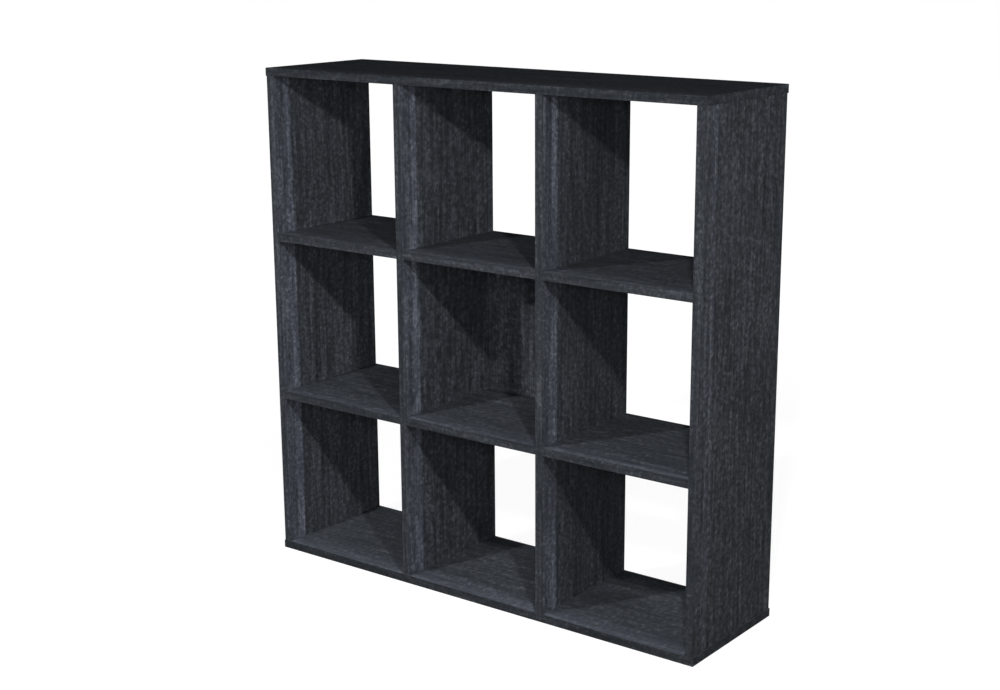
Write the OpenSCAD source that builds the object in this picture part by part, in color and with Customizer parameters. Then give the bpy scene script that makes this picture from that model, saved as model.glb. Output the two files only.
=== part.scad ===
// Cube storage unit: nine open cubes in a three by three grid, made of laminated boards.
// Full-width panels close the four uprights at top and bottom, six short shelves fill the
// spaces between the uprights, and a back panel stiffens the middle cube.
// Origin: middle of the footprint, on the floor. X runs across, -Y is the front, Z is up.

/* [Boards] */
// Clear width of each cube
cube_w = 310; // [280:1:400]
// Clear height of each cube
cube_h = 311; // [280:1:400]
// Depth of the unit from front to rear
unit_d = 280; // [240:1:400]
// Thickness of every board
board_t = 16; // [16:0.5:22]
// Reach of the top and bottom panels past each side panel
overhang = 2; // [1:0.5:10]

/* [Edging] */
// Thickness of the edging strips
edging_t = 1; // [0.8:0.1:2]
// Radius on the two outer corners of a strip
edging_r = 0.7; // [0.3:0.1:0.7]

/* [Cam fittings] */
// Diameter of a cam lock and of its pocket
cam_d = 15; // [14:0.5:16]
// Depth of a cam pocket
cam_depth = 12.5; // [12:0.1:13]
// Distance from a board's end to the middle of its cam
cam_from_end = 34; // [24:1:40]
// Distance from the front and rear edges to the cam fittings
fitting_inset = 50; // [40:1:60]
// Diameter of the cover foil over a cam
cover_d = 18; // [17:0.5:22]
// Thickness of the cover foil
cover_t = 0.3; // [0.2:0.1:0.5]

/* [Dowels and screws] */
// Diameter of the wooden dowels
dowel_d = 8; // [6:1:8]
// Distance from the front and rear edges to the dowels
dowel_inset = 82; // [80:1:100]
// Depth of a dowel in the face of a board
dowel_face_depth = 10; // [8:0.5:11]
// Depth of a dowel in the end of a board
dowel_end_depth = 20; // [15:1:25]
// Length of the screws in the bottom panel
screw_l = 50; // [40:1:60]

/* [Hidden] */
$fn = 48;

// Small overlap of a cutting shape past the face it cuts
cut = 1;
// Colours of the boards, edging, fittings and dowels
board_colour = [0.19, 0.20, 0.22];
edging_colour = [0.24, 0.25, 0.27];
zinc_colour = [0.72, 0.73, 0.75];
beech_colour = [0.80, 0.66, 0.47];

// Grid of cubes
pitch_x = cube_w + board_t;
pitch_z = cube_h + board_t;
unit_w = 3 * cube_w + 4 * board_t + 2 * overhang;
unit_h = 3 * cube_h + 4 * board_t;
upright_h = unit_h - 2 * board_t;
core_d = unit_d - 2 * edging_t;
left_x = -1.5 * pitch_x;
left_divider_x = -0.5 * pitch_x;
right_divider_x = 0.5 * pitch_x;
right_x = 1.5 * pitch_x;
uprights_x = [left_x, left_divider_x, right_divider_x, right_x];
lower_z = pitch_z + board_t / 2;
upper_z = 2 * pitch_z + board_t / 2;
shelves_z = [lower_z, upper_z];
top_joint_z = unit_h - board_t;

// Each upright's face with the cam pockets, +1 for the face towards +X
cam_faces = [1, -1, -1, -1];

// Rows of fittings, from front to rear
fittings_y = [-(unit_d / 2 - fitting_inset), unit_d / 2 - fitting_inset];
dowels_y = [-(unit_d / 2 - dowel_inset), unit_d / 2 - dowel_inset];

// Back panel of the middle cube, flush with the rear
back_y = unit_d / 2 - board_t / 2;
back_z = unit_h / 2;
back_bolts_z = [back_z - cube_h / 3, back_z + cube_h / 3];
back_dowels_z = [back_z - cube_h / 6, back_z + cube_h / 6];

// Bolt, cam and screw details
bolt_r = 3;
bolt_neck_r = 2;
bolt_head_r = 3.5;
bolt_head_l = 2.5;
bolt_neck_play = 0.5;
bolt_neck_l = cam_d / 2 - bolt_head_l / 2 + bolt_neck_play;
bolt_channel_r = 4;
bolt_thread_r = 3.1;
bolt_thread_l = 11;
thread_pitch = 2;
thread_tooth = 0.6;
cam_rim = 2.5;
cam_floor = 2;
cam_slot_clearance = 0.3;
cam_recess_w = 1.4;
cam_recess_l = 7;
cam_recess_depth = 1.2;
cam_h = cam_depth - 0.3;
dowel_chamfer = 1;
dowel_play = 1;
screw_head_r = 5;
screw_head_l = 4;
screw_shank_r = 3.5;
screw_thread_r = 3.2;
screw_pitch = 3;
screw_socket_r = 2;
screw_socket_depth = 3;

// ---- Boards ----

// A board without its edging, centred on the origin
module core(w, d, h) {
    cube([w, d, h], center = true);
}

// A bore from z = 0 up to length, open past z = 0
module bore(r, length) {
    translate([0, 0, -cut])
        cylinder(r = r, h = length + cut);
}

// Children once at each place in front-to-rear list
module at_depths(depths) {
    for (y = depths)
        translate([0, y, 0])
            children();
}

// Children turned so that their Z axis points along X, or against it
module along_x(direction) {
    rotate([0, 90 * direction, 0])
        children();
}

module top_panel() {
    color(board_colour)
        difference() {
            translate([0, 0, unit_h - board_t / 2])
                core(unit_w - 2 * edging_t, core_d, board_t);
            for (x = uprights_x)
                translate([x, 0, top_joint_z]) {
                    at_depths(fittings_y) bore(bolt_thread_r, bolt_thread_l);
                    at_depths(dowels_y) bore(dowel_d / 2, dowel_face_depth);
                }
        }
}

module bottom_panel() {
    color(board_colour)
        difference() {
            translate([0, 0, board_t / 2])
                core(unit_w - 2 * edging_t, core_d, board_t);
            for (x = uprights_x)
                translate([x, 0, 0]) {
                    at_depths(fittings_y) screw_hole();
                    at_depths(dowels_y)
                        translate([0, 0, board_t])
                            mirror([0, 0, 1])
                                bore(dowel_d / 2, dowel_face_depth);
                }
        }
}

// Countersunk hole for a screw, from the underside upwards
module screw_hole() {
    cylinder(r1 = screw_head_r, r2 = screw_shank_r, h = screw_head_l);
    bore(screw_shank_r, board_t + cut);
}

// The frame of an end joint: the board's end face is at z = 0, the board runs towards +Z,
// its middle plane is x = 0, and the cams go in from the face towards +X.

// The bolt's channel and the cam's pocket, in the frame of an end joint
module cam_bores() {
    bore(bolt_channel_r, cam_from_end);
    translate([board_t / 2, 0, cam_from_end])
        along_x(-1)
            bore(cam_d / 2, cam_depth);
}

// All bores of a joint at a board's end
module end_joint_bores() {
    at_depths(fittings_y) cam_bores();
    at_depths(dowels_y) bore(dowel_d / 2, dowel_end_depth + dowel_play);
}

// Everything drilled in the ends of an upright, with its middle line on the Z axis
module upright_end_bores(cam_face) {
    translate([0, 0, top_joint_z])
        mirror([cam_face < 0 ? 1 : 0, 0, 0])
            mirror([0, 0, 1])
                end_joint_bores();
    translate([0, 0, board_t]) {
        at_depths(fittings_y) bore(screw_thread_r, screw_l - board_t);
        at_depths(dowels_y) bore(dowel_d / 2, dowel_end_depth + dowel_play);
    }
}

// Bores in a side panel's inner face for the shelves, inward towards +X or -X
module side_shelf_bores(inward) {
    for (z = shelves_z)
        translate([inward * board_t / 2, 0, z]) {
            at_depths(fittings_y) along_x(-inward) bore(bolt_thread_r, bolt_thread_l);
            at_depths(dowels_y) along_x(-inward) bore(dowel_d / 2, dowel_face_depth);
        }
}

// Bores right through a divider for the shelves on both sides of it
module divider_shelf_bores() {
    for (z = shelves_z)
        translate([-board_t / 2, 0, z]) {
            at_depths(fittings_y) along_x(1) bore(bolt_channel_r, board_t + cut);
            at_depths(dowels_y) along_x(1) bore(dowel_d / 2, board_t + cut);
        }
}

// Bores in a divider's face for the back panel of the middle cube
module divider_back_bores(inward) {
    translate([inward * board_t / 2, back_y, 0]) {
        for (z = back_bolts_z)
            translate([0, 0, z])
                along_x(-inward)
                    bore(bolt_thread_r, bolt_thread_l);
        for (z = back_dowels_z)
            translate([0, 0, z])
                along_x(-inward)
                    bore(dowel_d / 2, dowel_face_depth);
    }
}

module side_panel(index, inward) {
    color(board_colour)
        translate([uprights_x[index], 0, 0])
            difference() {
                translate([0, 0, unit_h / 2])
                    core(board_t, core_d, upright_h);
                upright_end_bores(cam_faces[index]);
                side_shelf_bores(inward);
            }
}

module divider(index, inward) {
    color(board_colour)
        translate([uprights_x[index], 0, 0])
            difference() {
                translate([0, 0, unit_h / 2])
                    core(board_t, core_d, upright_h);
                upright_end_bores(cam_faces[index]);
                divider_shelf_bores();
                divider_back_bores(inward);
            }
}

module left_side_panel() { side_panel(0, 1); }
module right_side_panel() { side_panel(3, -1); }
module left_divider() { divider(1, 1); }
module right_divider() { divider(2, -1); }

// A shelf in column -1, 0 or 1, drilled at both ends with its cams underneath
module shelf(column, z) {
    color(board_colour)
        translate([column * pitch_x, 0, z])
            difference() {
                core(cube_w, core_d, board_t);
                for (side = [0, 1])
                    mirror([side, 0, 0])
                        translate([-cube_w / 2, 0, 0])
                            along_x(1)
                                end_joint_bores();
            }
}

module shelf_upper_left() { shelf(-1, upper_z); }
module shelf_upper_middle() { shelf(0, upper_z); }
module shelf_upper_right() { shelf(1, upper_z); }
module shelf_lower_left() { shelf(-1, lower_z); }
module shelf_lower_middle() { shelf(0, lower_z); }
module shelf_lower_right() { shelf(1, lower_z); }

module centre_back_panel() {
    color(board_colour)
        difference() {
            translate([0, back_y, back_z])
                cube([cube_w, board_t, cube_h], center = true);
            at_back_joints(back_bolts_z) cam_bores();
            at_back_joints(back_dowels_z) bore(dowel_d / 2, dowel_end_depth + dowel_play);
        }
}

// ---- Edging ----

// Cross-section of a strip: outer face on y = 0, glued face on y = edging_t
module strip_profile() {
    translate([-board_t / 2, edging_r])
        square([board_t, edging_t - edging_r]);
    translate([edging_r - board_t / 2, 0])
        square([board_t - 2 * edging_r, edging_t]);
    for (side = [-1, 1])
        translate([side * (board_t / 2 - edging_r), edging_r])
            circle(r = edging_r);
}

// A strip along Z, centred on the origin
module strip(length) {
    linear_extrude(height = length, center = true)
        strip_profile();
}

// The front and rear strips of an upright
module upright_edging(index) {
    color(edging_colour)
        translate([uprights_x[index], 0, unit_h / 2])
            for (side = [0, 1])
                mirror([0, side, 0])
                    translate([0, -unit_d / 2, 0])
                        strip(upright_h);
}

module left_side_edging() { upright_edging(0); }
module left_divider_edging() { upright_edging(1); }
module right_divider_edging() { upright_edging(2); }
module right_side_edging() { upright_edging(3); }

// The front and rear strips of a level board
module level_edging(length) {
    for (side = [0, 1])
        mirror([0, side, 0])
            translate([0, -unit_d / 2, 0])
                rotate([0, 90, 0])
                    strip(length);
}

// All four strips of the top or the bottom panel, the end strips between the long ones
module panel_edging(z) {
    color(edging_colour)
        translate([0, 0, z]) {
            level_edging(unit_w);
            for (side = [0, 1])
                mirror([side, 0, 0])
                    translate([-unit_w / 2, 0, 0])
                        rotate([0, 0, -90])
                            rotate([0, 90, 0])
                                strip(core_d);
        }
}

module top_panel_edging() { panel_edging(unit_h - board_t / 2); }
module bottom_panel_edging() { panel_edging(board_t / 2); }

module shelf_edging(column, z) {
    color(edging_colour)
        translate([column * pitch_x, 0, z])
            level_edging(cube_w);
}

module shelf_upper_left_edging() { shelf_edging(-1, upper_z); }
module shelf_upper_middle_edging() { shelf_edging(0, upper_z); }
module shelf_upper_right_edging() { shelf_edging(1, upper_z); }
module shelf_lower_left_edging() { shelf_edging(-1, lower_z); }
module shelf_lower_middle_edging() { shelf_edging(0, lower_z); }
module shelf_lower_right_edging() { shelf_edging(1, lower_z); }

// ---- Places of the end joints ----

// Children at each upright's top joint, in the frame of an end joint
module at_top_joints() {
    for (index = [0 : 3])
        translate([uprights_x[index], 0, top_joint_z])
            mirror([cam_faces[index] < 0 ? 1 : 0, 0, 0])
                mirror([0, 0, 1])
                    children();
}

// Children at both ends of all six shelves, in the same frame
module at_shelf_joints() {
    for (column = [-1 : 1])
        for (z = shelves_z)
            for (side = [0, 1])
                translate([column * pitch_x, 0, z])
                    mirror([side, 0, 0])
                        translate([-cube_w / 2, 0, 0])
                            along_x(1)
                                children();
}

// Children at both ends of the back panel, at each height, with the cams in its rear face
module at_back_joints(heights) {
    for (side = [0, 1])
        for (z = heights)
            mirror([side, 0, 0])
                translate([-cube_w / 2, back_y, z])
                    rotate([90, 0, 90])
                        children();
}

// ---- Cam locks ----

// A cam lock in the frame of an end joint: a hollow drum that holds the bolt's head behind
// its slotted rim, with a cross recess in the outer face
module cam_lock() {
    slot_w = 2 * (bolt_neck_r + cam_slot_clearance);
    mouth_w = 2 * (bolt_head_r + cam_slot_clearance);
    translate([board_t / 2, 0, cam_from_end])
        difference() {
            along_x(-1)
                translate([0, 0, cam_depth - cam_h])
                    cylinder(r = cam_d / 2, h = cam_h);
            along_x(-1)
                translate([0, 0, cam_depth - cam_h + cam_floor])
                    cylinder(r = cam_d / 2 - cam_rim, h = cam_h);
            translate([-board_t / 2, 0, -cam_d / 2])
                cube([slot_w, slot_w, cam_d], center = true);
            translate([-board_t / 2, 0, cam_d / 2])
                cube([mouth_w, mouth_w, cam_d], center = true);
            for (turn = [0, 90])
                rotate([turn, 0, 0])
                    translate([cam_h - cam_depth, 0, 0])
                        cube([2 * cam_recess_depth, cam_recess_w, cam_recess_l], center = true);
        }
}

// The cover foil over a cam lock
module cam_cover() {
    translate([board_t / 2, 0, cam_from_end])
        along_x(1)
            cylinder(r = cover_d / 2, h = cover_t);
}

module top_cam_locks() {
    color(zinc_colour) at_top_joints() at_depths(fittings_y) cam_lock();
}
module shelf_cam_locks() {
    color(zinc_colour) at_shelf_joints() at_depths(fittings_y) cam_lock();
}
module back_panel_cam_locks() {
    color(zinc_colour) at_back_joints(back_bolts_z) cam_lock();
}
module top_cam_covers() {
    color(board_colour) at_top_joints() at_depths(fittings_y) cam_cover();
}
module shelf_cam_covers() {
    color(board_colour) at_shelf_joints() at_depths(fittings_y) cam_cover();
}

// ---- Cam bolts ----

// Half-outline of the end that a cam grips: points [radius, height] from the shaft's end
// at height h up over the neck to the head
function gripped_end(h) = [
    [bolt_r, h - bolt_head_l - bolt_neck_l],
    [bolt_neck_r, h - bolt_head_l - bolt_neck_l],
    [bolt_neck_r, h - bolt_head_l],
    [bolt_head_r, h - bolt_head_l],
    [bolt_head_r, h - bolt_head_l / 3],
    [bolt_neck_r, h],
    [0, h]];

// Half-outline of a thread from height a up to height b: one ridge for each turn
function thread_outline(r, a, b, pitch) = [
    for (i = [0 : floor((b - a) / pitch) - 1])
        each [[r - thread_tooth, a + i * pitch], [r, a + (i + 0.5) * pitch]]];

// A single bolt: its thread in the face of one board, its head in the other board's cam
module cam_bolt() {
    head_z = cam_from_end + bolt_head_l / 2;
    rotate_extrude()
        polygon(concat(
            [[0, -bolt_thread_l]],
            thread_outline(bolt_thread_r, -bolt_thread_l, 0, thread_pitch),
            [[bolt_thread_r - thread_tooth, 0], [bolt_r, 0]],
            gripped_end(head_z)));
}

// A double bolt: right through a divider, with a head in a cam at each end
module double_cam_bolt() {
    end_z = board_t / 2 + cam_from_end + bolt_head_l / 2;
    half = gripped_end(end_z);
    rotate_extrude()
        polygon(concat(
            [for (i = [len(half) - 1 : -1 : 0]) [half[i][0], -half[i][1]]],
            half));
}

module top_cam_bolts() {
    color(zinc_colour) at_top_joints() at_depths(fittings_y) cam_bolt();
}

// Children at the side panels' inner faces, at both shelf heights, +Z into the shelf
module at_side_joints() {
    for (side = [0, 1])
        for (z = shelves_z)
            mirror([side, 0, 0])
                translate([left_x + board_t / 2, 0, z])
                    along_x(1)
                        children();
}

// Children on the middle lines of the dividers, at both shelf heights
module at_divider_joints() {
    for (x = [left_divider_x, right_divider_x])
        for (z = shelves_z)
            translate([x, 0, z])
                along_x(1)
                    children();
}

module side_cam_bolts() {
    color(zinc_colour) at_side_joints() at_depths(fittings_y) cam_bolt();
}
module divider_cam_bolts() {
    color(zinc_colour) at_divider_joints() at_depths(fittings_y) double_cam_bolt();
}
module back_panel_cam_bolts() {
    color(zinc_colour) at_back_joints(back_bolts_z) cam_bolt();
}

// ---- Dowels ----

// A wooden dowel with chamfered ends, from z = -below up to z = above
module dowel(below, above) {
    r = dowel_d / 2;
    rotate_extrude()
        polygon([
            [0, -below], [r - dowel_chamfer, -below], [r, dowel_chamfer - below],
            [r, above - dowel_chamfer], [r - dowel_chamfer, above], [0, above]]);
}

module top_dowels() {
    color(beech_colour)
        at_top_joints() at_depths(dowels_y) dowel(dowel_face_depth, dowel_end_depth);
}
module bottom_dowels() {
    color(beech_colour)
        for (x = uprights_x)
            translate([x, 0, board_t])
                at_depths(dowels_y)
                    dowel(dowel_face_depth, dowel_end_depth);
}
module side_dowels() {
    color(beech_colour)
        at_side_joints() at_depths(dowels_y) dowel(dowel_face_depth, dowel_end_depth);
}
module divider_dowels() {
    reach = board_t / 2 + dowel_end_depth;
    color(beech_colour) at_divider_joints() at_depths(dowels_y) dowel(reach, reach);
}
module back_panel_dowels() {
    color(beech_colour)
        at_back_joints(back_dowels_z) dowel(dowel_face_depth, dowel_end_depth);
}

// ---- Screws in the bottom panel ----

// A countersunk screw from the underside upwards, with a hexagonal socket
module bottom_screw() {
    difference() {
        rotate_extrude()
            polygon(concat(
                [[0, 0], [screw_head_r, 0], [screw_shank_r, screw_head_l],
                    [screw_shank_r, board_t]],
                thread_outline(screw_thread_r, board_t, screw_l - screw_pitch, screw_pitch),
                [[screw_thread_r - thread_tooth, screw_l - screw_pitch], [0, screw_l]]));
        translate([0, 0, -cut])
            cylinder(r = screw_socket_r, h = screw_socket_depth + cut, $fn = 6);
    }
}

module bottom_screws() {
    color(zinc_colour)
        for (x = uprights_x)
            translate([x, 0, 0])
                at_depths(fittings_y)
                    bottom_screw();
}

top_panel();
bottom_panel();
left_side_panel();
left_divider();
right_divider();
right_side_panel();
shelf_upper_left();
shelf_upper_middle();
shelf_upper_right();
shelf_lower_left();
shelf_lower_middle();
shelf_lower_right();
centre_back_panel();
top_panel_edging();
bottom_panel_edging();
left_side_edging();
left_divider_edging();
right_divider_edging();
right_side_edging();
shelf_upper_left_edging();
shelf_upper_middle_edging();
shelf_upper_right_edging();
shelf_lower_left_edging();
shelf_lower_middle_edging();
shelf_lower_right_edging();
top_cam_locks();
shelf_cam_locks();
back_panel_cam_locks();
top_cam_bolts();
side_cam_bolts();
divider_cam_bolts();
back_panel_cam_bolts();
top_dowels();
bottom_dowels();
side_dowels();
divider_dowels();
back_panel_dowels();
bottom_screws();
top_cam_covers();
shelf_cam_covers();
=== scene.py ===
"""Looks of the cube storage unit: laminated boards, edging, fittings, floor, lights, camera."""
import math

import bpy
from mathutils import Matrix, Vector


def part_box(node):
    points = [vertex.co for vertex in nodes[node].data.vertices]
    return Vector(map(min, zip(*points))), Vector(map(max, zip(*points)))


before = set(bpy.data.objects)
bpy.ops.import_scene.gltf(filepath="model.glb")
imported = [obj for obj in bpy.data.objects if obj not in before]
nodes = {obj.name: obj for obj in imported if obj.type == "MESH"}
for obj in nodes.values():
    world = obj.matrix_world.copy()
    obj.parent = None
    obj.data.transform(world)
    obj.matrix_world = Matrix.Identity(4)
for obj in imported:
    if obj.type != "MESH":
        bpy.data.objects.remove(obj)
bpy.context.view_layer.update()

MM = 0.001

# Places in the unit, from the lowest and the highest corners of its nodes.
UNIT_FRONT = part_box("bottom_panel_edging")[0].y
CORE_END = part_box("bottom_panel")[1].x
SIDE_MIDDLE = sum(corner.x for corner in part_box("right_side_panel")) / 2

UPRIGHTS = ["left_side_panel", "left_divider", "right_divider", "right_side_panel"]
SHELVES = [f"shelf_{row}_{column}" for row in ("lower", "upper")
           for column in ("left", "middle", "right")]
LEVELS = ["top_panel", "bottom_panel"] + SHELVES


# ---- Shader graph ----

class Graph:
    """One node-based material: adds nodes, and links or sets their inputs."""

    def __init__(self, name):
        self.material = bpy.data.materials.new(name)
        self.material.use_nodes = True
        self.tree = self.material.node_tree
        self.shader = self.tree.nodes["Principled BSDF"]

    def feed(self, socket, value):
        if isinstance(value, bpy.types.NodeSocket):
            self.tree.links.new(value, socket)
        else:
            socket.default_value = value

    def shade(self, **values):
        """Feeds the shader's own inputs. An underscore stands for a space in their names."""
        for name, value in values.items():
            self.feed(self.shader.inputs[name.replace("_", " ")], value)

    def add(self, kind, inputs, **settings):
        node = self.tree.nodes.new(kind)
        for key, value in settings.items():
            setattr(node, key, value)
        for key, value in inputs.items():
            self.feed(node.inputs[key], value)
        return node

    def place(self):
        """The CAD's own coordinates, in metres."""
        return self.add("ShaderNodeTexCoord", {}).outputs["Object"]

    def math(self, operation, a, b=0.0):
        return self.add("ShaderNodeMath", {0: a, 1: b}, operation=operation).outputs[0]

    def vector(self, operation, a, b):
        return self.add("ShaderNodeVectorMath", {0: a, 1: b}, operation=operation).outputs[0]

    def scaled(self, vector, factor):
        inputs = {0: vector, "Scale": factor}
        return self.add("ShaderNodeVectorMath", inputs, operation="SCALE").outputs[0]

    def add_up(self, parts, start):
        """start plus each of the (value, share) pairs, the value times its share."""
        total = start
        for value, share in parts:
            inputs = {0: value, 1: share, 2: total}
            total = self.add("ShaderNodeMath", inputs, operation="MULTIPLY_ADD").outputs[0]
        return total

    def span(self, value, low, high, to_low=0.0, to_high=1.0, smooth=False):
        """value brought from low..high to to_low..to_high, and clamped."""
        inputs = {"Value": value, "From Min": low, "From Max": high,
                  "To Min": to_low, "To Max": to_high}
        kind = "SMOOTHSTEP" if smooth else "LINEAR"
        return self.add("ShaderNodeMapRange", inputs, interpolation_type=kind).outputs["Result"]

    def noise(self, vector, scale, detail, roughness):
        inputs = {"Vector": vector, "Scale": scale, "Detail": detail, "Roughness": roughness}
        return self.add("ShaderNodeTexNoise", inputs).outputs["Fac"]

    def ramp(self, value, stops):
        """A colour ramp with (position, (r, g, b)) stops."""
        node = self.add("ShaderNodeValToRGB", {"Fac": value})
        elements = node.color_ramp.elements
        while len(elements) < len(stops):
            elements.new(0.5)
        for element, (position, colour) in zip(elements, stops):
            element.position = position
            element.color = (*colour, 1.0)
        return node.outputs["Color"]

    def mix(self, factor, a, b):
        node = self.add("ShaderNodeMix", {}, data_type="RGBA")
        self.feed(node.inputs["Factor"], factor)
        self.feed(node.inputs["A"], a)
        self.feed(node.inputs["B"], b)
        return node.outputs["Result"]

    def bump(self, height, distance, strength):
        inputs = {"Height": height, "Distance": distance, "Strength": strength}
        self.shade(Normal=self.add("ShaderNodeBump", inputs).outputs["Normal"])


# ---- Printed wood grain ----

# How far each step of a board's offset moves the print: along, across and through the board.
PRINT_STEP = (1.37, 0.61, 0.29)

# Noises of the grain: cells a metre along it and across it, detail, and roughness.
RIBS = (5, 108, 2.0, 0.6)
FIBRES = (18, 280, 3.0, 0.6)
DASHES = (150, 100, 2.0, 0.55)
FLECKS = (170, 120, 2.0, 0.5)
STRANDS = (22, 1100, 2.0, 0.6)
BANDS = (2.5, 24, 2.0, 0.6)
PORES = (55, 900, 2.0, 0.5)

# Noise values between which a thing starts to show, and how bright flecks are off and on ribs.
RIB_RISE = (0.35, 0.65)
FLECK_RISE = (0.56, 0.74)
PORE_FALL = (0.30, 0.42)
FLECK_ON_RIBS = (0.35, 1.5)

# How much each noise counts in the lightness of the print, and in the height of its relief.
RIB_SHARE = 0.95
FIBRE_SHARE = 0.50
DASH_SHARE = 1.35
STRAND_SHARE = 0.70
BAND_SHARE = 0.22
FLECK_SHARE = 0.46
PORE_SHARE = 0.12
FIBRE_HEIGHT = 0.7
DASH_HEIGHT = 0.3
PORE_DEPTH = 0.8
RELIEF_RANGE = (0.1, 0.8)

BASE_TONE = 0.47
FIBRE_SLIP = 18 * MM
DARK = (0.0120, 0.0137, 0.0162)
MIDDLE = (0.0323, 0.0363, 0.0428)
LIGHT = (0.0860, 0.0935, 0.1065)


def grain_space(graph, grain, across, offset):
    """Coordinates in metres: X along the grain, Y across it on the face, Z through the board.
    The offset gives each board its own part of the print. Also returns the unit's own axes."""
    axes = graph.add("ShaderNodeSeparateXYZ", {0: graph.place()})
    through = ({"X", "Y", "Z"} - {grain, across}).pop()
    ordered = {"X": axes.outputs[grain], "Y": axes.outputs[across], "Z": axes.outputs[through]}
    turned = graph.add("ShaderNodeCombineXYZ", ordered).outputs[0]
    return graph.vector("ADD", turned, tuple(offset * step for step in PRINT_STEP)), axes


def grain_noise(graph, space, layer, fineness=1.0):
    """One noise of the grain. The fineness multiplies its number of cells across the grain."""
    along, across, detail, roughness = layer
    cells = (along, across * fineness, across * fineness)
    return graph.noise(graph.vector("MULTIPLY", space, cells), 1.0, detail, roughness)


def wood_tone(graph, space, fineness=1.0):
    """Lightness of the printed grain, about 0.5 on average, and the height of its relief. The
    fibres slip along each other, which tears the ends of the dashes and flecks."""
    ribs = grain_noise(graph, space, RIBS, fineness)
    fibres = grain_noise(graph, space, FIBRES, fineness)
    slip = graph.math("MULTIPLY", graph.math("SUBTRACT", fibres, 0.5), FIBRE_SLIP)
    torn = graph.vector("ADD", space, graph.add("ShaderNodeCombineXYZ", {0: slip}).outputs[0])
    dashes = grain_noise(graph, torn, DASHES, fineness)
    flecks = grain_noise(graph, torn, FLECKS, fineness)
    strands = grain_noise(graph, space, STRANDS)
    bands = grain_noise(graph, space, BANDS)
    pores = grain_noise(graph, space, PORES)
    on_ribs = graph.span(ribs, *RIB_RISE, *FLECK_ON_RIBS)
    light_flecks = graph.math("MULTIPLY", graph.span(flecks, *FLECK_RISE), on_ribs)
    dark_pores = graph.span(pores, *PORE_FALL, 1.0, 0.0)
    even = [(ribs, RIB_SHARE), (fibres, FIBRE_SHARE), (dashes, DASH_SHARE),
            (strands, STRAND_SHARE), (bands, BAND_SHARE)]
    start = BASE_TONE - sum(share for _, share in even) / 2
    tone = graph.add_up(even + [(light_flecks, FLECK_SHARE), (dark_pores, -PORE_SHARE)], start)
    height = graph.add_up([(fibres, FIBRE_HEIGHT), (dashes, DASH_HEIGHT),
                           (dark_pores, -PORE_DEPTH)], 0.0)
    return tone, height


def print_colour(graph, tone, gain):
    """Charcoal colour of the print at that tone, times the gain."""
    stops = ((0.0, DARK), (0.5, MIDDLE), (1.0, LIGHT))
    return graph.ramp(tone, [(at, tuple(gain * part for part in rgb)) for at, rgb in stops])


def embossed(graph, colour, height, skin):
    """The print under its embossed skin, rough in the pores and smoother on the fibres."""
    graph.shade(Base_Color=colour, Specular_IOR_Level=skin["specular"],
                Roughness=graph.span(height, *RELIEF_RANGE, *skin["roughness"]))
    graph.bump(height, skin["relief"], skin["strength"])
    return graph.material


# ---- Laminated boards ----

UPRIGHT_GAIN = 1.03
LEVEL_GAIN = 1.16
# Painted light: the centre back panel's print is raised so that the lamp-lit patch in the middle
# cube comes out brighter; its shaded part is raised with it.
BACK_PAINTED_LIGHT = 1.10
LEVEL_CONTRAST = 0.62
LEVEL_FINENESS = 0.75
FACE_SKIN = {"roughness": (0.62, 0.48), "specular": 0.22, "relief": 0.12 * MM, "strength": 0.8}

# The streak along a board's front: a lighter band down to BAND_DEPTH, and in it a brighter
# stripe from start to end. outside is the share of it on the outer faces of the side panels.
BAND_DEPTH = 47 * MM
UPRIGHT_STREAK = {"start": 33 * MM, "end": 45 * MM, "band": 0.37, "stripe": 0.62, "outside": 0.40}
LEVEL_STREAK = {"start": 4 * MM, "end": 15 * MM, "band": 0.20, "stripe": 0.34, "outside": 1.0}
STREAK_TINT = (1.0, 1.0, 1.12)
STREAK_WOBBLE = 4 * MM
WOBBLE = (6, 40, 2.0, 0.5)

# Where a change starts and ends, counted from the place it belongs to.
BAND_FALL = (-1 * MM, 3 * MM)
STRIPE_RISE = (-8 * MM, 2 * MM)
STRIPE_FALL = (-1 * MM, 5 * MM)
OUTSIDE_CHANGE = (-1 * MM, 1 * MM)


def near(place, change):
    """The start and the end of a change at that place."""
    return [place + part for part in change]


def front_streak(graph, space, axes, streak):
    """How much lighter the print is near the front, as a colour to multiply it by."""
    wobble = graph.math("MULTIPLY", grain_noise(graph, space, WOBBLE), STREAK_WOBBLE)
    inset = graph.math("ADD", graph.math("SUBTRACT", axes.outputs["Y"], UNIT_FRONT), wobble)
    band = graph.span(inset, *near(BAND_DEPTH, BAND_FALL), 1.0, 0.0)
    rise = graph.span(inset, *near(streak["start"], STRIPE_RISE), smooth=True)
    fall = graph.span(inset, *near(streak["end"], STRIPE_FALL), 1.0, 0.0, smooth=True)
    stripe = graph.math("MULTIPLY", rise, fall)
    strength = graph.math("ADD", graph.math("MULTIPLY", band, streak["band"]),
                          graph.math("MULTIPLY", stripe, streak["stripe"]))
    if streak["outside"] < 1.0:
        aside = graph.math("ABSOLUTE", axes.outputs["X"])
        shown = graph.span(aside, *near(SIDE_MIDDLE, OUTSIDE_CHANGE), 1.0, streak["outside"])
        strength = graph.math("MULTIPLY", strength, shown)
    return graph.vector("ADD", graph.scaled(STREAK_TINT, strength), (1.0, 1.0, 1.0))


def laminate(name, grain, across, offset, streak, gain=1.0, contrast=1.0, fineness=1.0):
    """Melamine face with a printed, embossed grain, and a front streak if one is given."""
    graph = Graph(name)
    space, axes = grain_space(graph, grain, across, offset)
    tone, height = wood_tone(graph, space, fineness)
    tone = graph.add_up([(tone, contrast)], 0.5 * (1.0 - contrast))
    colour = print_colour(graph, tone, gain)
    if streak:
        colour = graph.vector("MULTIPLY", colour, front_streak(graph, space, axes, streak))
    return embossed(graph, colour, height, FACE_SKIN)


# ---- Edging ----

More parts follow.
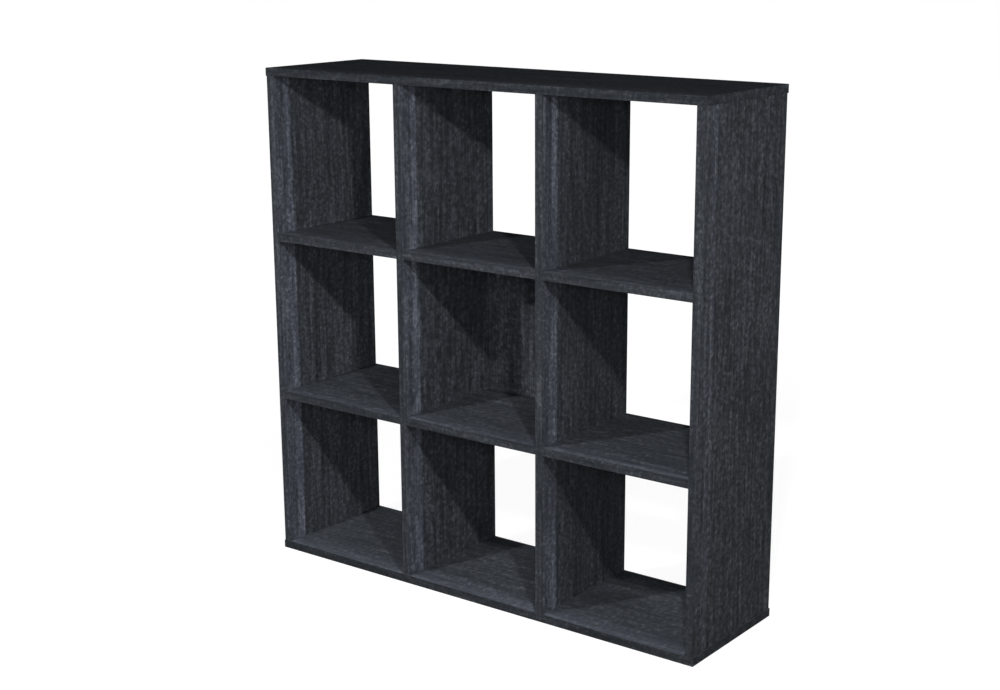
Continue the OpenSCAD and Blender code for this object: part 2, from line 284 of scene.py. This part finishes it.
EDGE_CONTRAST = 0.75
EDGE_TONE = 0.14
EDGE_GAIN = 0.84
# Painted light and shade on the edging strips, one factor a board: the top and bottom panels'
# strips are painted darker, and the shelves', dividers' and side panels' strips lighter, to follow
# how the lamps light them.
EDGE_PAINTED_SHADING = {"bottom": 0.84, "shelf_lower": 1.06, "shelf_upper": 1.18, "top": 0.96,
               "left_side": 1.24, "left_divider": 1.14, "right": 1.14}
EDGE_SKIN = {"roughness": (0.50, 0.38), "specular": 0.12, "relief": 0.05 * MM, "strength": 0.6}
# Painted light: the edging on the end faces of the top and bottom panels, past their cores, is
# painted lighter by this factor.
END_PAINTED_LIGHT = 1.14
END_CHANGE = (-0.2 * MM, 0.2 * MM)


def edging(name, grain, across, offset, gain):
    """Printed plastic strip: the same decor, drawn calmer, with painted light making it a little
    lighter past the ends of the top and bottom panels' cores."""
    graph = Graph(name)
    space, axes = grain_space(graph, grain, across, offset)
    tone, height = wood_tone(graph, space)
    colour = print_colour(graph, graph.add_up([(tone, EDGE_CONTRAST)], EDGE_TONE), gain)
    aside = graph.math("ABSOLUTE", axes.outputs["X"])
    # Painted light on the end faces of the strips.
    painted_end_light = graph.span(aside, *near(CORE_END, END_CHANGE), 1.0, END_PAINTED_LIGHT)
    return embossed(graph, graph.scaled(colour, painted_end_light), height, EDGE_SKIN)


def edge_gain_and_painted_shading(node):
    # The edging's tone times the painted light and shade of its board.
    return EDGE_GAIN * next(shade for start, shade in EDGE_PAINTED_SHADING.items() if node.startswith(start))


# ---- Fittings ----

METALLIC = 0.7
MOTTLE = (260.0, 4.0, 0.6)
MOTTLE_RANGE = (0.3, 0.7)
DULL_SHARE = 0.62
GRIT = (3.0, 0.55)
GRIT_STRENGTH = 0.7
ZINC = {"colour": (0.60, 0.61, 0.63), "roughness": (0.54, 0.36), "grit": 2600.0,
        "relief": 0.06 * MM}
STEEL = {"colour": (0.70, 0.71, 0.73), "roughness": (0.40, 0.22), "grit": 5200.0,
         "relief": 0.02 * MM}

BEECH_FIBRES = (60, 1400, 3.0, 0.6)
BEECH_RAYS = (420, 2400, 1.0, 0.5)
RAY_RISE = (0.60, 0.72)
RAY_DARKNESS = 0.35
BEECH_STOPS = ((0.2, (0.36, 0.20, 0.10)), (0.5, (0.60, 0.39, 0.22)), (0.8, (0.73, 0.52, 0.32)))
BEECH_RANGE = (0.2, 0.8)
BEECH_ROUGHNESS = (0.78, 0.62)
BEECH_RELIEF = 0.08 * MM
BEECH_STRENGTH = 0.8


def metal(name, skin):
    """Dull mottled metal, with a fine relief of grit cells a metre."""
    graph = Graph(name)
    place = graph.place()
    mottle = graph.noise(place, *MOTTLE)
    dull = tuple(DULL_SHARE * part for part in skin["colour"])
    tint = graph.ramp(mottle, list(zip(MOTTLE_RANGE, (dull, skin["colour"]))))
    graph.shade(Base_Color=tint, Metallic=METALLIC,
                Roughness=graph.span(mottle, *MOTTLE_RANGE, *skin["roughness"]))
    graph.bump(graph.noise(place, skin["grit"], *GRIT), skin["relief"], GRIT_STRENGTH)
    return graph.material


def beech(name, grain, across):
    """Raw beech dowel: pale, with short darker rays along the grain."""
    graph = Graph(name)
    space, _ = grain_space(graph, grain, across, 0)
    fibres = grain_noise(graph, space, BEECH_FIBRES)
    rays = graph.span(grain_noise(graph, space, BEECH_RAYS), *RAY_RISE, 0.0, RAY_DARKNESS)
    graph.shade(Base_Color=graph.ramp(graph.math("SUBTRACT", fibres, rays), BEECH_STOPS),
                Roughness=graph.span(fibres, *BEECH_RANGE, *BEECH_ROUGHNESS))
    graph.bump(fibres, BEECH_RELIEF, BEECH_STRENGTH)
    return graph.material


# ---- Dressing the CAD nodes ----

BOARD_BEVEL = 0.2 * MM
STRIP_BEVEL = 0.12 * MM
CAM_BEVEL = 0.15 * MM
WELD_DISTANCE = 0.002 * MM
SHARP = math.radians(50)

# The first offset into the print for each group of pieces, so that no two pieces share one.
UPRIGHT_PRINT = 1
LEVEL_PRINT = 11
BACK_PRINT = 31
STRIP_PRINT = 41
COVER_PRINT = 61


def dress(node, material, bevel=0.0):
    """Gives a CAD node its material, and softens its edges with a bevel of that width."""
    piece = nodes[node]
    piece.data.materials.clear()
    piece.data.materials.append(material)
    if bevel:
        weld = piece.modifiers.new("weld", "WELD")
        weld.merge_threshold = WELD_DISTANCE
        soft = piece.modifiers.new("soft_edges", "BEVEL")
        soft.width = bevel
        soft.segments = 2
        soft.limit_method = "ANGLE"
        soft.angle_limit = SHARP
        soft.harden_normals = True


def dress_boards():
    for offset, node in enumerate(UPRIGHTS, UPRIGHT_PRINT):
        upright = laminate(node + "_laminate", "Z", "Y", offset, UPRIGHT_STREAK, UPRIGHT_GAIN)
        dress(node, upright, BOARD_BEVEL)
    for offset, node in enumerate(LEVELS, LEVEL_PRINT):
        level = laminate(node + "_laminate", "X", "Y", offset, LEVEL_STREAK, LEVEL_GAIN,
                         LEVEL_CONTRAST, LEVEL_FINENESS)
        dress(node, level, BOARD_BEVEL)
    back = laminate("centre_back_panel_laminate", "Z", "X", BACK_PRINT, None, BACK_PAINTED_LIGHT)
    dress("centre_back_panel", back, BOARD_BEVEL)


def dress_edging():
    strips = sorted(node for node in nodes if node.endswith("edging"))
    for offset, node in enumerate(strips, STRIP_PRINT):
        grain, across = ("X", "Z") if node.startswith(("top", "bottom", "shelf")) else ("Z", "X")
        strip = edging(node + "_print", grain, across, offset, edge_gain_and_painted_shading(node))
        dress(node, strip, STRIP_BEVEL)


def dress_fittings():
    cast_zinc = metal("cast_zinc", ZINC)
    plated_steel = metal("zinc_plated_steel", STEEL)
    for node in nodes:
        if node.endswith("cam_locks"):
            dress(node, cast_zinc, CAM_BEVEL)
        elif node.endswith(("bolts", "screws")):
            dress(node, plated_steel)
        elif node in ("top_dowels", "bottom_dowels"):
            dress(node, beech(node + "_beech", "Z", "X"))
        elif node.endswith("dowels"):
            dress(node, beech(node + "_beech", "X", "Z"))
    top_foil = laminate("top_cover_foil", "Z", "Y", COVER_PRINT, None)
    dress("top_cam_covers", top_foil)
    shelf_foil = laminate("shelf_cover_foil", "X", "Y", COVER_PRINT + 1, None, LEVEL_GAIN)
    dress("shelf_cam_covers", shelf_foil)


# ---- Floor, lights and camera ----

WHITE = (1.0, 1.0, 1.0, 1.0)
FLOOR_HALF = 15.0
FLOOR_DROP = 0.4 * MM
FLOOR_SPECKLE = (9.0, 3.0, 0.5)
FLOOR_STOPS = ((0.0, (0.115, 0.115, 0.115)), (1.0, (0.125, 0.125, 0.125)))
FLOOR_BOUNCE = (0.12, 0.12, 0.12, 1.0)
FLOOR_GLOW = 0.93
GLOW_START = 0.9
GLOW_END = 2.6
WORLD_LIGHT = 0.01
UNIT_MIDDLE = (0.0, 0.0, 0.5)

CAMERA_AIM = Vector((-0.0287, 0.1077, 0.4290))
CAMERA_DISTANCE = 3.3
CAMERA_AZIMUTH = math.radians(36.381)
CAMERA_ELEVATION = math.radians(14.458)
CAMERA_ROLL = math.radians(-0.0566)
CAMERA_LENS = 59.547
CAMERA_SHIFT = (-0.03437, 0.01367)


def make_floor():
    """A plain pale floor. It glows to the camera, and most away from the unit, so that it runs
    into the white background."""
    mesh = bpy.data.meshes.new("studio_floor")
    around = ((-1, -1), (1, -1), (1, 1), (-1, 1))
    corners = [(x * FLOOR_HALF, y * FLOOR_HALF, -FLOOR_DROP) for x, y in around]
    mesh.from_pydata(corners, [], [(0, 1, 2, 3)])
    floor = bpy.data.objects.new("studio_floor", mesh)
    bpy.context.scene.collection.objects.link(floor)
    graph = Graph("floor_paint")
    place = graph.place()
    away = graph.add("ShaderNodeVectorMath", {0: place}, operation="LENGTH").outputs["Value"]
    pale = graph.ramp(graph.noise(place, *FLOOR_SPECKLE), FLOOR_STOPS)
    seen = graph.add("ShaderNodeLightPath", {}).outputs["Is Camera Ray"]
    glow = graph.span(away, GLOW_START, GLOW_END, FLOOR_GLOW, 1.0, smooth=True)
    graph.shade(Base_Color=graph.mix(seen, FLOOR_BOUNCE, pale), Roughness=0.9,
                Specular_IOR_Level=0.1, Emission_Color=WHITE,
                Emission_Strength=graph.math("MULTIPLY", seen, glow))
    mesh.materials.append(graph.material)


def make_light(name, place, aim, size, power, steady=True, glossy=False):
    """A lamp at a place, aimed at a point: round with one size, an oblong with two. A steady one
    doesn't fall off with distance, and one that isn't glossy makes no highlights."""
    data = bpy.data.lights.new(name, "AREA")
    if isinstance(size, tuple):
        data.shape = "RECTANGLE"
        data.size, data.size_y = size
    else:
        data.shape = "DISK"
        data.size = size
    data.energy = power
    if steady:
        data.use_nodes = True
        tree = data.node_tree
        fall = tree.nodes.new("ShaderNodeLightFalloff")
        fall.inputs["Strength"].default_value = 1.0
        tree.links.new(fall.outputs["Constant"], tree.nodes["Emission"].inputs["Strength"])
    lamp = bpy.data.objects.new(name, data)
    bpy.context.scene.collection.objects.link(lamp)
    lamp.location = place
    lamp.visible_camera = False
    lamp.visible_glossy = glossy
    lamp.rotation_euler = (Vector(aim) - Vector(place)).to_track_quat("-Z", "Y").to_euler()


def make_lights():
    """The key and second lamps throw the shadows in the cubes, and the head lamp fills them from
    near the camera. The right and side lamps light the right side, and the back lamp the rear."""
    make_light("key", (1.009, -0.972, 1.446), UNIT_MIDDLE, size=0.06, power=5.2)
    make_light("second", (-0.54, -1.36, 1.22), UNIT_MIDDLE, size=0.06, power=6.4)
    make_light("head", (1.87, -2.46, 1.25), UNIT_MIDDLE, size=0.6, power=4.0, glossy=True)
    make_light("right", (1.5, -0.3, 1.1), UNIT_MIDDLE, size=0.8, power=2.9, glossy=True)
    make_light("side", (1.20, -0.10, 0.78), (0.5, -0.10, 0.78), size=0.3, power=0.9,
               steady=False, glossy=True)
    make_light("back", (-2.0, 2.3, 0.16), UNIT_MIDDLE, size=(1.6, 0.2), power=15.0)


def make_world():
    """White behind the object, and a dim even light on it."""
    world = bpy.data.worlds.new("studio_world")
    bpy.context.scene.world = world
    world.use_nodes = True
    tree = world.node_tree
    background = tree.nodes["Background"]
    background.inputs["Color"].default_value = WHITE
    path = tree.nodes.new("ShaderNodeLightPath")
    level = tree.nodes.new("ShaderNodeMapRange")
    level.inputs["To Min"].default_value = WORLD_LIGHT
    level.inputs["To Max"].default_value = 1.0
    tree.links.new(path.outputs["Is Camera Ray"], level.inputs["Value"])
    tree.links.new(level.outputs["Result"], background.inputs["Strength"])


def make_camera():
    """The camera stands in front of the unit and to its right, and looks down a little."""
    data = bpy.data.cameras.new("camera")
    data.sensor_width = 36.0
    data.lens = CAMERA_LENS
    data.shift_x, data.shift_y = CAMERA_SHIFT
    camera = bpy.data.objects.new("camera", data)
    bpy.context.scene.collection.objects.link(camera)
    back = Vector((math.sin(CAMERA_AZIMUTH) * math.cos(CAMERA_ELEVATION),
                   -math.cos(CAMERA_AZIMUTH) * math.cos(CAMERA_ELEVATION),
                   math.sin(CAMERA_ELEVATION)))
    camera.matrix_world = (Matrix.Translation(CAMERA_AIM + CAMERA_DISTANCE * back)
                           @ back.to_track_quat("Z", "Y").to_matrix().to_4x4()
                           @ Matrix.Rotation(CAMERA_ROLL, 4, "Z"))
    bpy.context.scene.camera = camera


dress_boards()
dress_edging()
dress_fittings()
make_floor()
make_world()
make_lights()
make_camera()
bpy.context.scene.view_settings.view_transform = "Standard"
